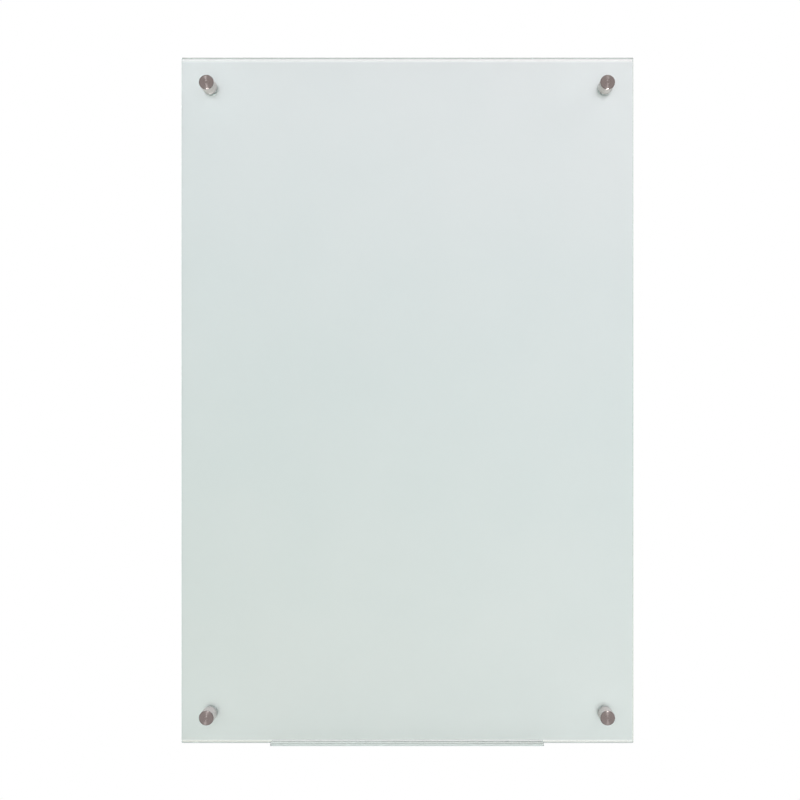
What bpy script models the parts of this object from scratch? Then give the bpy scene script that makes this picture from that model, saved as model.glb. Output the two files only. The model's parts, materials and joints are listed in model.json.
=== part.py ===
"""Glass writing board held off a wall by four turned stand-offs, with a clear pen ledge.

The board's face looks along -Y, +Z is up and the wall's surface is the plane y = 0. The origin is
midway between the four stand-offs. Heights along a stand-off are measured from the wall forward.
"""

import math

import bmesh
import bpy
from mathutils import Matrix, Vector

# Board: one sheet of toughened glass, drilled near its corners
GLASS_WIDTH = 0.586
GLASS_HEIGHT = 0.889
GLASS_THICKNESS = 0.004
GLASS_CORNER_RADIUS = 0.0015
GLASS_ARRIS = 0.0006
HOLE_FROM_SIDE = 0.037
HOLE_FROM_END = 0.039
HOLE_ARRIS = 0.0004

# Clearances
SEAT_GAP = 0.0003
THREAD_GAP = 0.0003
SLEEVE_GAP = 0.0003

# Stand-off base: a short turned cup on the wall, with a floor for the wall screw
BASE_RADIUS = 0.0095
BASE_LENGTH = 0.0085
BASE_CHAMFER = 0.0004
BASE_FLOOR = 0.0026
BORE_CHAMFER = 0.0005

# Cap and the threaded stud that is fixed in it
CAP_RADIUS = 0.0095
CAP_LENGTH = 0.019
CAP_EDGE_RADIUS = 0.0007
CAP_BACK_CHAMFER = 0.0003
CAP_SOCKET_DEPTH = 0.012
STUD_RADIUS = 0.005
STUD_CHAMFER = 0.0008
STUD_REACH = 0.0045
STUD_KEY_WIDTH = 0.005
STUD_KEY_DEPTH = 0.004

# Clear washers on both sides of the glass, and the sleeve inside its hole
WASHER_RADIUS = 0.0092
WASHER_THICKNESS = 0.0006
SLEEVE_WALL = 0.0009

# Wall screw, countersunk with a cross recess
SCREW_HEAD_RADIUS = 0.0039
SCREW_SHANK_RADIUS = 0.0021
SCREW_HEAD_RIM = 0.0003
SCREW_HEAD_SET = 0.0002
SCREW_LENGTH = 0.038
SCREW_POINT = 0.006
RECESS_SPAN = 0.0042
RECESS_WIDTH = 0.0009
RECESS_DEPTH = 0.0018

# Wall plug with a collar, two wings and slotted legs
PLUG_RADIUS = 0.0035
PLUG_LENGTH = 0.030
PLUG_COLLAR_WIDTH = 0.0008
PLUG_COLLAR_THICKNESS = 0.0008
PLUG_TIP_LENGTH = 0.003
PLUG_TIP_WALL = 0.0006
PLUG_SLOT_WIDTH = 0.0008
PLUG_SLOT_LENGTH = 0.018
PLUG_WING_HEIGHT = 0.0008
PLUG_WING_WIDTH = 0.001
PLUG_WING_LENGTH = 0.008
PLUG_WING_START = 0.003

# Pen ledge: a clear angle with an upturned lip, stuck to the face of the glass
LEDGE_LENGTH = 0.350
LEDGE_DEPTH = 0.015
LEDGE_BASE = 0.003
LIP_HEIGHT = 0.0057
LIP_THICKNESS = 0.003
LEDGE_ABOVE_EDGE = 0.0018
LEDGE_OUTER_RADIUS = 0.0012
LEDGE_INNER_RADIUS = 0.001
LIP_TOP_RADIUS = 0.0008
LIP_END_RADIUS = 0.002
TAPE_THICKNESS = 0.001
TAPE_INSET = 0.0003

# Cutters run past the faces that they cut by this much
OVERRUN = 0.002

ROUND_STEPS = 44
SMALL_ROUND_STEPS = 28
ARC_STEPS = 4
HEXAGON_SIDES = 6
SQUARE_SIDES = 4
SMOOTH_ANGLE = math.radians(30)
# Points nearer to each other than this are one point: a numerical limit, not a size
MERGE_DISTANCE = 1e-6

# What follows from the sizes above, as heights in front of the wall
REAR_WASHER_START = BASE_LENGTH + SEAT_GAP
GLASS_BACK = REAR_WASHER_START + WASHER_THICKNESS + SEAT_GAP
GLASS_FRONT = GLASS_BACK + GLASS_THICKNESS
FRONT_WASHER_START = GLASS_FRONT + SEAT_GAP
CAP_START = FRONT_WASHER_START + WASHER_THICKNESS + SEAT_GAP
STUD_START = BASE_LENGTH - STUD_REACH
STUD_END = CAP_START + CAP_SOCKET_DEPTH - SEAT_GAP
STUD_HOLE_RADIUS = STUD_RADIUS + THREAD_GAP
SLEEVE_RADIUS = STUD_HOLE_RADIUS + SLEEVE_WALL
GLASS_HOLE_RADIUS = SLEEVE_RADIUS + SLEEVE_GAP
SCREW_HOLE_RADIUS = SCREW_SHANK_RADIUS + SEAT_GAP
RELIEF_RADIUS = PLUG_RADIUS + PLUG_COLLAR_WIDTH + SEAT_GAP
RELIEF_DEPTH = PLUG_COLLAR_THICKNESS + SEAT_GAP
BASE_FLOOR_TOP = RELIEF_DEPTH + BASE_FLOOR
STANDOFF_X = GLASS_WIDTH / 2 - HOLE_FROM_SIDE
STANDOFF_Z = GLASS_HEIGHT / 2 - HOLE_FROM_END

# The turned pieces' own axis is Z, and this turns it to point out of the wall
OUT_OF_WALL = Matrix.Rotation(math.pi / 2, 4, "X")
# A section drawn forward and up, extruded across the board
ACROSS_BOARD = Matrix(((0, 0, -1, 0), (-1, 0, 0, 0), (0, 1, 0, 0), (0, 0, 0, 1)))

CORNERS = {
    "top_left": (-1, 1),
    "top_right": (1, 1),
    "bottom_left": (-1, -1),
    "bottom_right": (1, -1),
}


def clear_scene():
    for thing in list(bpy.data.objects):
        bpy.data.objects.remove(thing, do_unlink=True)


def new_collection(name):
    collection = bpy.data.collections.new(name)
    bpy.context.scene.collection.children.link(collection)
    return collection


def new_material(name, colour, roughness, metallic=0.0, transmission=0.0):
    """A Principled material; colour is in linear values."""
    material = bpy.data.materials.new(name)
    material.use_nodes = True
    shader = material.node_tree.nodes["Principled BSDF"]
    shader.inputs["Base Color"].default_value = (*colour, 1.0)
    shader.inputs["Roughness"].default_value = roughness
    shader.inputs["Metallic"].default_value = metallic
    shader.inputs["Transmission Weight"].default_value = transmission
    return material


def place(thing, parent=None, matrix=None):
    """Hangs an object from its parent and sets its place there."""
    thing.parent = parent
    thing.matrix_local = matrix or Matrix()
    return thing


def mesh_object(name, build, collection, material=None):
    """An object whose mesh is filled by build, a function of an empty bmesh."""
    shape = bmesh.new()
    build(shape)
    mesh = bpy.data.meshes.new(name)
    shape.to_mesh(mesh)
    shape.free()
    thing = bpy.data.objects.new(name, mesh)
    collection.objects.link(thing)
    if material:
        mesh.materials.append(material)
    return thing


def as_cutter(thing):
    thing.hide_render = True
    thing.display_type = "WIRE"
    return thing


def boolean(target, other, operation="DIFFERENCE"):
    modifier = target.modifiers.new(operation.lower(), "BOOLEAN")
    modifier.operation = operation
    modifier.object = other
    modifier.solver = "EXACT"


def turned(name, profile, collection, material=None, closed=False, steps=ROUND_STEPS):
    """A turned solid about Z. The profile is (radius, height) pairs, down the outer side first."""

    def build(shape):
        points = [shape.verts.new((radius, 0, height)) for radius, height in profile]
        pairs = list(zip(points, points[1:]))
        if closed:
            pairs.append((points[-1], points[0]))
        for pair in pairs:
            shape.edges.new(pair)

    thing = mesh_object(name, build, collection, material)
    screw = thing.modifiers.new("turn", "SCREW")
    screw.axis = "Z"
    screw.steps = screw.render_steps = steps
    screw.use_merge_vertices = True
    screw.merge_threshold = MERGE_DISTANCE
    screw.use_smooth_shade = True
    return thing


def box(shape, size, centre):
    """A block of this size about this centre, added to a bmesh."""
    made = bmesh.ops.create_cube(shape, size=1)
    bmesh.ops.scale(shape, vec=size, verts=made["verts"])
    bmesh.ops.translate(shape, vec=centre, verts=made["verts"])
    return made["verts"]


def ring_profile(outer, inner, length):
    """A plain ring or tube from height 0 up."""
    return [(outer, length), (outer, 0), (inner, 0), (inner, length)]


def quarter_arc(radius, centre):
    """From straight up to straight out to the side, as points round this centre."""
    angles = [math.pi / 2 * (1 - step / ARC_STEPS) for step in range(ARC_STEPS + 1)]
    return [
        (centre[0] + radius * math.cos(angle), centre[1] + radius * math.sin(angle))
        for angle in angles
    ]


def fillet(before, corner, after, radius):
    """The arc that rounds one corner of an outline, or the corner itself if radius is 0."""
    if not radius:
        return [corner]
    corner, before, after = Vector(corner), Vector(before), Vector(after)
    to_before = (before - corner).normalized()
    to_after = (after - corner).normalized()
    half = to_before.angle(to_after) / 2
    start = corner + to_before * radius / math.tan(half)
    centre = corner + (to_before + to_after).normalized() * radius / math.sin(half)
    sweep = math.pi - 2 * half
    turn = math.copysign(1, to_before.x * to_after.y - to_before.y * to_after.x)
    spoke = start - centre
    arc = []
    for step in range(ARC_STEPS + 1):
        angle = -turn * sweep * step / ARC_STEPS
        arc.append(tuple(centre + Matrix.Rotation(angle, 2) @ spoke))
    return arc


def extruded(name, corners, thickness, collection, material=None):
    """A flat outline of (point, radius) corners, extruded to this thickness, as a mesh."""
    points = []
    for index, (corner, radius) in enumerate(corners):
        before = corners[index - 1][0]
        after = corners[(index + 1) % len(corners)][0]
        points += fillet(before, corner, after, radius)
    curve = bpy.data.curves.new(name + "_outline", "CURVE")
    curve.dimensions = "2D"
    curve.fill_mode = "BOTH"
    curve.extrude = thickness / 2
    spline = curve.splines.new("POLY")
    spline.points.add(len(points) - 1)
    for slot, point in zip(spline.points, points):
        slot.co = (*point, 0, 1)
    spline.use_cyclic_u = True
    drawn = bpy.data.objects.new(name + "_outline", curve)
    collection.objects.link(drawn)
    bpy.context.view_layer.update()
    graph = bpy.context.evaluated_depsgraph_get()
    mesh = bpy.data.meshes.new_from_object(drawn.evaluated_get(graph))
    bpy.data.objects.remove(drawn, do_unlink=True)
    shape = bmesh.new()
    shape.from_mesh(mesh)
    bmesh.ops.remove_doubles(shape, verts=shape.verts, dist=MERGE_DISTANCE)
    bmesh.ops.recalc_face_normals(shape, faces=shape.faces)
    shape.to_mesh(mesh)
    shape.free()
    mesh.name = name
    mesh.materials.clear()
    thing = bpy.data.objects.new(name, mesh)
    collection.objects.link(thing)
    if material:
        mesh.materials.append(material)
    return thing


def glass_panel(parts, cutters, material):
    """The drilled sheet, with dubbed corners and every long edge broken by an arris."""

    def build(shape):
        middle = -(GLASS_BACK + GLASS_FRONT) / 2
        box(shape, (GLASS_WIDTH, GLASS_THICKNESS, GLASS_HEIGHT), (0, middle, 0))
        through = [
            edge
            for edge in shape.edges
            if edge.verts[0].co.x == edge.verts[1].co.x
            and edge.verts[0].co.z == edge.verts[1].co.z
        ]
        bmesh.ops.bevel(
            shape,
            geom=through,
            offset=GLASS_CORNER_RADIUS,
            segments=ARC_STEPS,
            profile=0.5,
            affect="EDGES",
        )
        rims = [edge for edge in shape.edges if is_rim(edge)]
        bmesh.ops.bevel(
            shape,
            geom=rims,
            offset=GLASS_ARRIS,
            segments=1,
            profile=0.5,
            affect="EDGES",
        )

    def is_rim(edge):
        """True where a large face, front or back, meets the side wall."""
        facing = [abs(face.normal.y) > 0.5 for face in edge.link_faces]
        return facing.count(True) == 1

    panel = mesh_object("glass_panel", build, parts, material)
    for corner, (side, level) in CORNERS.items():
        drill = as_cutter(turned("drill_" + corner, drill_profile(), cutters))
        matrix = Matrix.Translation((side * STANDOFF_X, 0, level * STANDOFF_Z))
        place(drill, matrix=matrix @ OUT_OF_WALL)
        boolean(panel, drill)
    return panel


def drill_profile():
    """Cutter for a hole through the glass with both mouths broken, wider past each face."""
    mouth = GLASS_HOLE_RADIUS + HOLE_ARRIS
    return [
        (0, GLASS_FRONT + OVERRUN),
        (mouth + OVERRUN, GLASS_FRONT + OVERRUN),
        (mouth, GLASS_FRONT),
        (GLASS_HOLE_RADIUS, GLASS_FRONT - HOLE_ARRIS),
        (GLASS_HOLE_RADIUS, GLASS_BACK + HOLE_ARRIS),
        (mouth, GLASS_BACK),
        (mouth + OVERRUN, GLASS_BACK - OVERRUN),
        (0, GLASS_BACK - OVERRUN),
    ]


def screw_cone_start():
    """Height where the screw's shank begins to widen into its head."""
    head_top = BASE_FLOOR_TOP - SCREW_HEAD_SET
    return head_top - SCREW_HEAD_RIM - (SCREW_HEAD_RADIUS - SCREW_SHANK_RADIUS)


def base(name, parts, material):
    """Cup open at the front for the stud, with a countersunk floor and a relief at the wall."""
    cone_gap = SEAT_GAP * math.sqrt(2)
    cone_start = screw_cone_start() - (cone_gap - SEAT_GAP)
    sink_radius = SCREW_HOLE_RADIUS + BASE_FLOOR_TOP - cone_start
    profile = [
        (BASE_RADIUS - BASE_CHAMFER, BASE_LENGTH),
        (BASE_RADIUS, BASE_LENGTH - BASE_CHAMFER),
        (BASE_RADIUS, BASE_CHAMFER),
        (BASE_RADIUS - BASE_CHAMFER, 0),
        (RELIEF_RADIUS, 0),
        (RELIEF_RADIUS, RELIEF_DEPTH),
        (SCREW_HOLE_RADIUS, RELIEF_DEPTH),
        (SCREW_HOLE_RADIUS, cone_start),
        (sink_radius, BASE_FLOOR_TOP),
        (STUD_HOLE_RADIUS, BASE_FLOOR_TOP),
        (STUD_HOLE_RADIUS, BASE_LENGTH - BORE_CHAMFER),
        (STUD_HOLE_RADIUS + BORE_CHAMFER, BASE_LENGTH),
    ]
    return turned(name, profile, parts, material, closed=True)


def cap(name, parts, material):
    """Short cylinder with a rounded front edge and a blind tapped hole in its back."""
    edge_centre = (CAP_RADIUS - CAP_EDGE_RADIUS, CAP_LENGTH - CAP_EDGE_RADIUS)
    profile = [
        (0, CAP_LENGTH),
        *quarter_arc(CAP_EDGE_RADIUS, edge_centre),
        (CAP_RADIUS, CAP_BACK_CHAMFER),
        (CAP_RADIUS - CAP_BACK_CHAMFER, 0),
        (STUD_HOLE_RADIUS, 0),
        (STUD_HOLE_RADIUS, CAP_SOCKET_DEPTH),
        (0, CAP_SOCKET_DEPTH),
    ]
    return turned(name, profile, parts, material)


def stud(name, parts, cutters, material):
    """Threaded pin, drawn at its outer diameter, with a hexagon socket in its inner end."""
    length = STUD_END - STUD_START
    profile = [
        (0, length),
        (STUD_RADIUS - STUD_CHAMFER, length),
        (STUD_RADIUS, length - STUD_CHAMFER),
        (STUD_RADIUS, STUD_CHAMFER),
        (STUD_RADIUS - STUD_CHAMFER, 0),
        (0, 0),
    ]
    pin = turned(name, profile, parts, material)

    def build(shape):
        depth = STUD_KEY_DEPTH + OVERRUN
        across_corners = STUD_KEY_WIDTH / math.cos(math.pi / HEXAGON_SIDES)
        made = bmesh.ops.create_cone(
            shape,
            cap_ends=True,
            segments=HEXAGON_SIDES,
            radius1=across_corners / 2,
            radius2=across_corners / 2,
            depth=depth,
        )
        lift = STUD_KEY_DEPTH - depth / 2
        bmesh.ops.translate(shape, vec=(0, 0, lift), verts=made["verts"])

    key = as_cutter(mesh_object(name + "_key", build, cutters))
    place(key, parent=pin)
    boolean(pin, key)
    return pin


def wall_screw(name, parts, cutters, material):
    """Countersunk wood screw, drawn at its thread's outer diameter, origin at the head's top."""
    cone = SCREW_HEAD_RADIUS - SCREW_SHANK_RADIUS
    profile = [
        (0, 0),
        (SCREW_HEAD_RADIUS, 0),
        (SCREW_HEAD_RADIUS, -SCREW_HEAD_RIM),
        (SCREW_SHANK_RADIUS, -SCREW_HEAD_RIM - cone),
        (SCREW_SHANK_RADIUS, -SCREW_LENGTH + SCREW_POINT),
        (0, -SCREW_LENGTH),
    ]
    screw = turned(name, profile, parts, material, steps=SMALL_ROUND_STEPS)
    for quarter in range(2):

        def build(shape):
            made = bmesh.ops.create_cone(
                shape,
                cap_ends=True,
                segments=SQUARE_SIDES,
                radius1=0,
                radius2=math.sqrt(2) / 2,
                depth=1,
                matrix=Matrix.Rotation(math.pi / SQUARE_SIDES, 4, "Z"),
            )
            depth = RECESS_DEPTH + OVERRUN
            spread = depth / RECESS_DEPTH
            size = (RECESS_SPAN * spread, RECESS_WIDTH * spread, depth)
            bmesh.ops.scale(shape, vec=size, verts=made["verts"])
            lift = depth / 2 - RECESS_DEPTH
            bmesh.ops.translate(shape, vec=(0, 0, lift), verts=made["verts"])

        blade = as_cutter(mesh_object(f"{name}_recess_{quarter}", build, cutters))
        place(blade, screw, Matrix.Rotation(quarter * math.pi / 2, 4, "Z"))
        boolean(screw, blade)
    return screw


def wall_plug(name, parts, cutters, material):
    """Plug that fills the drilled wall, with its collar in the base's relief."""
    collar_radius = PLUG_RADIUS + PLUG_COLLAR_WIDTH
    profile = [
        (collar_radius, PLUG_COLLAR_THICKNESS),
        (collar_radius, 0),
        (PLUG_RADIUS, 0),
        (PLUG_RADIUS, -PLUG_LENGTH + PLUG_TIP_LENGTH),
        (SCREW_HOLE_RADIUS + PLUG_TIP_WALL, -PLUG_LENGTH),
        (SCREW_HOLE_RADIUS, -PLUG_LENGTH),
        (SCREW_HOLE_RADIUS, PLUG_COLLAR_THICKNESS),
    ]
    plug = turned(name, profile, parts, material, closed=True, steps=SMALL_ROUND_STEPS)
    for side in (-1, 1):

        def build(shape):
            inner = (SCREW_HOLE_RADIUS + PLUG_RADIUS) / 2
            reach = PLUG_RADIUS + PLUG_WING_HEIGHT - inner
            size = (reach, PLUG_WING_WIDTH, PLUG_WING_LENGTH)
            height = -PLUG_WING_START - PLUG_WING_LENGTH / 2
            box(shape, size, (side * (inner + reach / 2), 0, height))

        wing = as_cutter(mesh_object(f"{name}_wing_{side}", build, cutters))
        place(wing, parent=plug)
        boolean(plug, wing, "UNION")

    def build_slot(shape):
        span = 2 * (PLUG_RADIUS + OVERRUN)
        size = (PLUG_SLOT_WIDTH, span, PLUG_SLOT_LENGTH + OVERRUN)
        height = -PLUG_LENGTH + PLUG_SLOT_LENGTH - size[2] / 2
        box(shape, size, (0, 0, height))

    slot = as_cutter(mesh_object(name + "_slot", build_slot, cutters))
    place(slot, parent=plug)
    boolean(plug, slot)
    return plug


def standoff(corner, side, level, parts, cutters, materials):
    """All that holds one corner of the glass, on an empty at its foot on the wall."""
    foot = bpy.data.objects.new("standoff_" + corner, None)
    foot.empty_display_size = BASE_RADIUS
    parts.objects.link(foot)
    matrix = Matrix.Translation((side * STANDOFF_X, 0, level * STANDOFF_Z))
    place(foot, matrix=matrix @ OUT_OF_WALL)

    def seat(thing, height):
        place(thing, foot, Matrix.Translation((0, 0, height)))

    washer = ring_profile(WASHER_RADIUS, STUD_HOLE_RADIUS, WASHER_THICKNESS)
    sleeve_length = GLASS_THICKNESS - 2 * SEAT_GAP
    sleeve = ring_profile(SLEEVE_RADIUS, STUD_HOLE_RADIUS, sleeve_length)
    metal, clear = materials["brushed_steel"], materials["clear_vinyl"]
    seat(base("base_" + corner, parts, metal), 0)
    seat(wall_plug("wall_plug_" + corner, parts, cutters, materials["grey_nylon"]), 0)
    screw = wall_screw("wall_screw_" + corner, parts, cutters, materials["zinc_steel"])
    seat(screw, BASE_FLOOR_TOP - SCREW_HEAD_SET)
    rear = turned("rear_washer_" + corner, washer, parts, clear, closed=True)
    seat(rear, REAR_WASHER_START)
    bush = turned(
        "hole_sleeve_" + corner, sleeve, parts, materials["white_nylon"], closed=True
    )
    seat(bush, GLASS_BACK + SEAT_GAP)
    front = turned("front_washer_" + corner, washer, parts, clear, closed=True)
    seat(front, FRONT_WASHER_START)
    seat(stud("stud_" + corner, parts, cutters, materials["zinc_steel"]), STUD_START)
    seat(cap("cap_" + corner, parts, metal), CAP_START)


def pen_ledge(parts, cutters, materials):
    """The clear ledge, low at the middle of the board, and the tape that holds it."""
    underside = -GLASS_HEIGHT / 2 + LEDGE_ABOVE_EDGE
    tape_back = GLASS_FRONT + SEAT_GAP
    ledge_back = tape_back + TAPE_THICKNESS + SEAT_GAP
    lip_back = LEDGE_DEPTH - LIP_THICKNESS
    section = [
        ((0, 0), 0),
        ((LEDGE_DEPTH, 0), LEDGE_OUTER_RADIUS),
        ((LEDGE_DEPTH, LIP_HEIGHT), LIP_TOP_RADIUS),
        ((lip_back, LIP_HEIGHT), LIP_TOP_RADIUS),
        ((lip_back, LEDGE_BASE), LEDGE_INNER_RADIUS),
        ((0, LEDGE_BASE), 0),
    ]
    clear = materials["clear_acrylic"]
    ledge = extruded("pen_ledge", section, LEDGE_LENGTH, parts, clear)
    matrix = Matrix.Translation((0, -ledge_back, underside))
    place(ledge, matrix=matrix @ ACROSS_BOARD)

    # The envelope rounds the lip's two top corners, as seen from the front
    half = LEDGE_LENGTH / 2
    front_view = [
        ((-half, -OVERRUN), 0),
        ((half, -OVERRUN), 0),
        ((half, LIP_HEIGHT), LIP_END_RADIUS),
        ((-half, LIP_HEIGHT), LIP_END_RADIUS),
    ]
    deep = 2 * (LEDGE_DEPTH + OVERRUN)
    envelope = as_cutter(extruded("ledge_envelope", front_view, deep, cutters))
    place(envelope, matrix=matrix @ OUT_OF_WALL)
    boolean(ledge, envelope, "INTERSECT")

    def build(shape):
        height = LEDGE_BASE - 2 * TAPE_INSET
        size = (LEDGE_LENGTH - 2 * TAPE_INSET, TAPE_THICKNESS, height)
        depth = -(tape_back + TAPE_THICKNESS / 2)
        box(shape, size, (0, depth, underside + LEDGE_BASE / 2))

    mesh_object("ledge_tape", build, parts, materials["clear_tape"])


def shade(parts):
    """Round walls are smooth and the corners between them sharp."""
    for thing in parts.objects:
        if thing.type == "MESH":
            thing.data.shade_smooth()
            thing.data.set_sharp_from_angle(angle=SMOOTH_ANGLE)


def main():
    clear_scene()
    parts = new_collection("glass_whiteboard")
    cutters = new_collection("cutters")
    cutters.hide_render = True
    materials = {
        "frosted_glass": new_material("frosted_glass", (0.66, 0.75, 0.72), 0.35, 0, 0.7),
        "clear_acrylic": new_material("clear_acrylic", (0.80, 0.87, 0.85), 0.08, 0, 0.9),
        "clear_tape": new_material("clear_tape", (0.80, 0.82, 0.81), 0.3, 0, 0.7),
        "brushed_steel": new_material("brushed_steel", (0.38, 0.35, 0.34), 0.32, 1.0),
        "zinc_steel": new_material("zinc_steel", (0.55, 0.56, 0.58), 0.3, 1.0),
        "clear_vinyl": new_material("clear_vinyl", (0.82, 0.84, 0.83), 0.25, 0, 0.7),
        "white_nylon": new_material("white_nylon", (0.78, 0.78, 0.76), 0.5),
        "grey_nylon": new_material("grey_nylon", (0.35, 0.36, 0.37), 0.5),
    }
    glass_panel(parts, cutters, materials["frosted_glass"])
    for corner, (side, level) in CORNERS.items():
        standoff(corner, side, level, parts, cutters, materials)
    pen_ledge(parts, cutters, materials)
    shade(parts)


main()
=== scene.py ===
import json
import math

import bmesh
import bpy
from mathutils import Matrix, Vector

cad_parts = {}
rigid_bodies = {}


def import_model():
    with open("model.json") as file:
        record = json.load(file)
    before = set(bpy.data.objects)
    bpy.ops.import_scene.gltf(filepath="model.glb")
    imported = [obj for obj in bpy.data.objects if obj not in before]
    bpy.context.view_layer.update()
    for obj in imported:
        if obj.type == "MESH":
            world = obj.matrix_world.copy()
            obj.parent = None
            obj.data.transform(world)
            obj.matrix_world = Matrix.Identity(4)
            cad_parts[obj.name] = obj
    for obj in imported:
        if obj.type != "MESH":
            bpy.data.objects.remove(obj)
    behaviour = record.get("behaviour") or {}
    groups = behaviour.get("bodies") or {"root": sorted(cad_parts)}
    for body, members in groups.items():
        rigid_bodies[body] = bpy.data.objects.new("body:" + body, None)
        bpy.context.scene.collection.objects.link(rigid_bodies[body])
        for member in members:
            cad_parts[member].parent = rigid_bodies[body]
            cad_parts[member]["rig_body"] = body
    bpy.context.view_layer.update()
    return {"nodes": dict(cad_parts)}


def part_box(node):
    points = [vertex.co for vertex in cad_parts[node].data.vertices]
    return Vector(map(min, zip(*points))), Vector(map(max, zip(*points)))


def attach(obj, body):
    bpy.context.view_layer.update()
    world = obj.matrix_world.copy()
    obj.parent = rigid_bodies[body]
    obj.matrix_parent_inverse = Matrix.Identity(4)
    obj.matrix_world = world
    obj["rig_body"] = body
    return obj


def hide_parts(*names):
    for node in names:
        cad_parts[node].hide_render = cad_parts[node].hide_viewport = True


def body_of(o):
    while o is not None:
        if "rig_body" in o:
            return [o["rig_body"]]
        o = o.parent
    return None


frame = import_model()


# The camera looks squarely at the glass from 1.2 m, a little low and to the right of the board's
# middle. The picture is a crop that isn't centred on the lens, so it has a small shift.

CAMERA_PLACE = (0.0383, -1.2137, -0.019)
CAMERA_LENS, CAMERA_SENSOR = 41.65, 36
CROP_ACROSS, CROP_UP = -0.04625, 0.01875

camera_data = bpy.data.cameras.new("camera")
camera_data.sensor_width = CAMERA_SENSOR
camera_data.lens = CAMERA_LENS
camera_data.shift_x = CROP_ACROSS
camera_data.shift_y = CROP_UP
camera = bpy.data.objects.new("camera", camera_data)
camera.location = CAMERA_PLACE
camera.rotation_euler = (math.pi / 2, 0, 0)
bpy.context.scene.collection.objects.link(camera)
bpy.context.scene.camera = camera
bpy.context.scene.view_settings.view_transform = "Standard"


# The studio is white all round as the camera sees it. Glass looks through to a lit backdrop, dim to
# the sides, which draws the dark lines in the clear ledge. Polished metal sees white behind the
# board, and in front of it a dim room with a lighter patch round the camera.

MIX = {"data_type": "RGBA"}
FIRST, SECOND, MIXED = 6, 7, 2  # the colour sockets of a Mix node, two going in and one coming out
EASE = {"interpolation_type": "SMOOTHSTEP"}
WHITE = "#ffffff"
BACKDROP_STRENGTH = 1.3

# Directions, as shares of a unit vector. Along Y, -1 is the camera's side and 1 is behind the board.
PATCH_FULL, PATCH_END = -0.9, -0.65
BACKDROP_START, BACKDROP_FULL = -0.12, 0.2
GLASS_DIM, GLASS_LIT = 0.2, 0.7
SHADE_UP, SHADE_ACROSS = 0.4, 0.25


def linear(code):
    """An sRGB hex colour as linear red, green, blue and alpha."""
    shares = [int(code[start : start + 2], 16) / 255 for start in (1, 3, 5)]
    return (*(s / 12.92 if s <= 0.04045 else ((s + 0.055) / 1.055) ** 2.4 for s in shares), 1)


def add(tree, kind, settings=None, links=None):
    """Adds a node, with its properties or socket values, and links from other nodes."""
    made = tree.nodes.new(kind)
    for key, value in (settings or {}).items():
        if isinstance(key, str) and hasattr(made, key):
            setattr(made, key, value)
        else:
            made.inputs[key].default_value = value
    for key, source in (links or {}).items():
        output = source if isinstance(source, bpy.types.NodeSocket) else source.outputs[0]
        tree.links.new(output, made.inputs[key])
    return made


studio = bpy.data.worlds.new("studio")
bpy.context.scene.world = studio
studio.use_nodes = True
sky = studio.node_tree
sky.nodes.clear()
ray = add(sky, "ShaderNodeLightPath")
toward = add(sky, "ShaderNodeTexCoord")
axes = add(sky, "ShaderNodeSeparateXYZ", links={0: toward.outputs["Generated"]})
height = add(
    sky,
    "ShaderNodeMapRange",
    {"From Min": -SHADE_UP, "From Max": SHADE_UP},
    {0: axes.outputs["Z"]},
)

# What metal sees: the patch round the camera, the dim room and the white backdrop.
patch = add(
    sky,
    "ShaderNodeMix",
    {**MIX, FIRST: linear("#a59f9e"), SECOND: linear("#a39c9a")},
    {0: height},
)
camera_side = add(
    sky,
    "ShaderNodeMapRange",
    {**EASE, "From Min": PATCH_FULL, "From Max": PATCH_END, "To Min": 1, "To Max": 0},
    {0: axes.outputs["Y"]},
)
room = add(
    sky,
    "ShaderNodeMix",
    {**MIX, FIRST: linear("#252322")},
    {0: camera_side, SECOND: patch.outputs[MIXED]},
)
backdrop_side = add(
    sky,
    "ShaderNodeMapRange",
    {**EASE, "From Min": BACKDROP_START, "From Max": BACKDROP_FULL},
    {0: axes.outputs["Y"]},
)
around = add(
    sky,
    "ShaderNodeMix",
    {**MIX, SECOND: linear(WHITE)},
    {0: backdrop_side, FIRST: room.outputs[MIXED]},
)

# What glass sees: the backdrop, shaded from foot to top and from left to right.
side = add(
    sky,
    "ShaderNodeMapRange",
    {"From Min": -SHADE_ACROSS, "From Max": SHADE_ACROSS},
    {0: axes.outputs["X"]},
)
left_side = add(sky, "ShaderNodeValToRGB", links={0: height})
right_side = add(sky, "ShaderNodeValToRGB", links={0: height})
for column, shades in (
    (left_side, ("#e7e0d9", "#d3d6d5", "#efe7eb")),
    (right_side, ("#f7efed", "#e0e1e2", "#f8eaef")),
):
    stops = column.color_ramp.elements
    stops.new(0.5)
    for stop, shade in zip(stops, shades):
        stop.color = linear(shade)
through = add(
    sky, "ShaderNodeMix", MIX, {0: side, FIRST: left_side.outputs[0], SECOND: right_side.outputs[0]}
)
squareness = add(sky, "ShaderNodeMath", {"operation": "ABSOLUTE"}, {0: axes.outputs["Y"]})
lit_backdrop = add(
    sky,
    "ShaderNodeMapRange",
    {**EASE, "From Min": GLASS_DIM, "From Max": GLASS_LIT},
    {0: squareness},
)
behind = add(
    sky,
    "ShaderNodeMix",
    {**MIX, FIRST: linear("#6c706f")},
    {0: lit_backdrop, SECOND: through.outputs[MIXED]},
)

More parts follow.
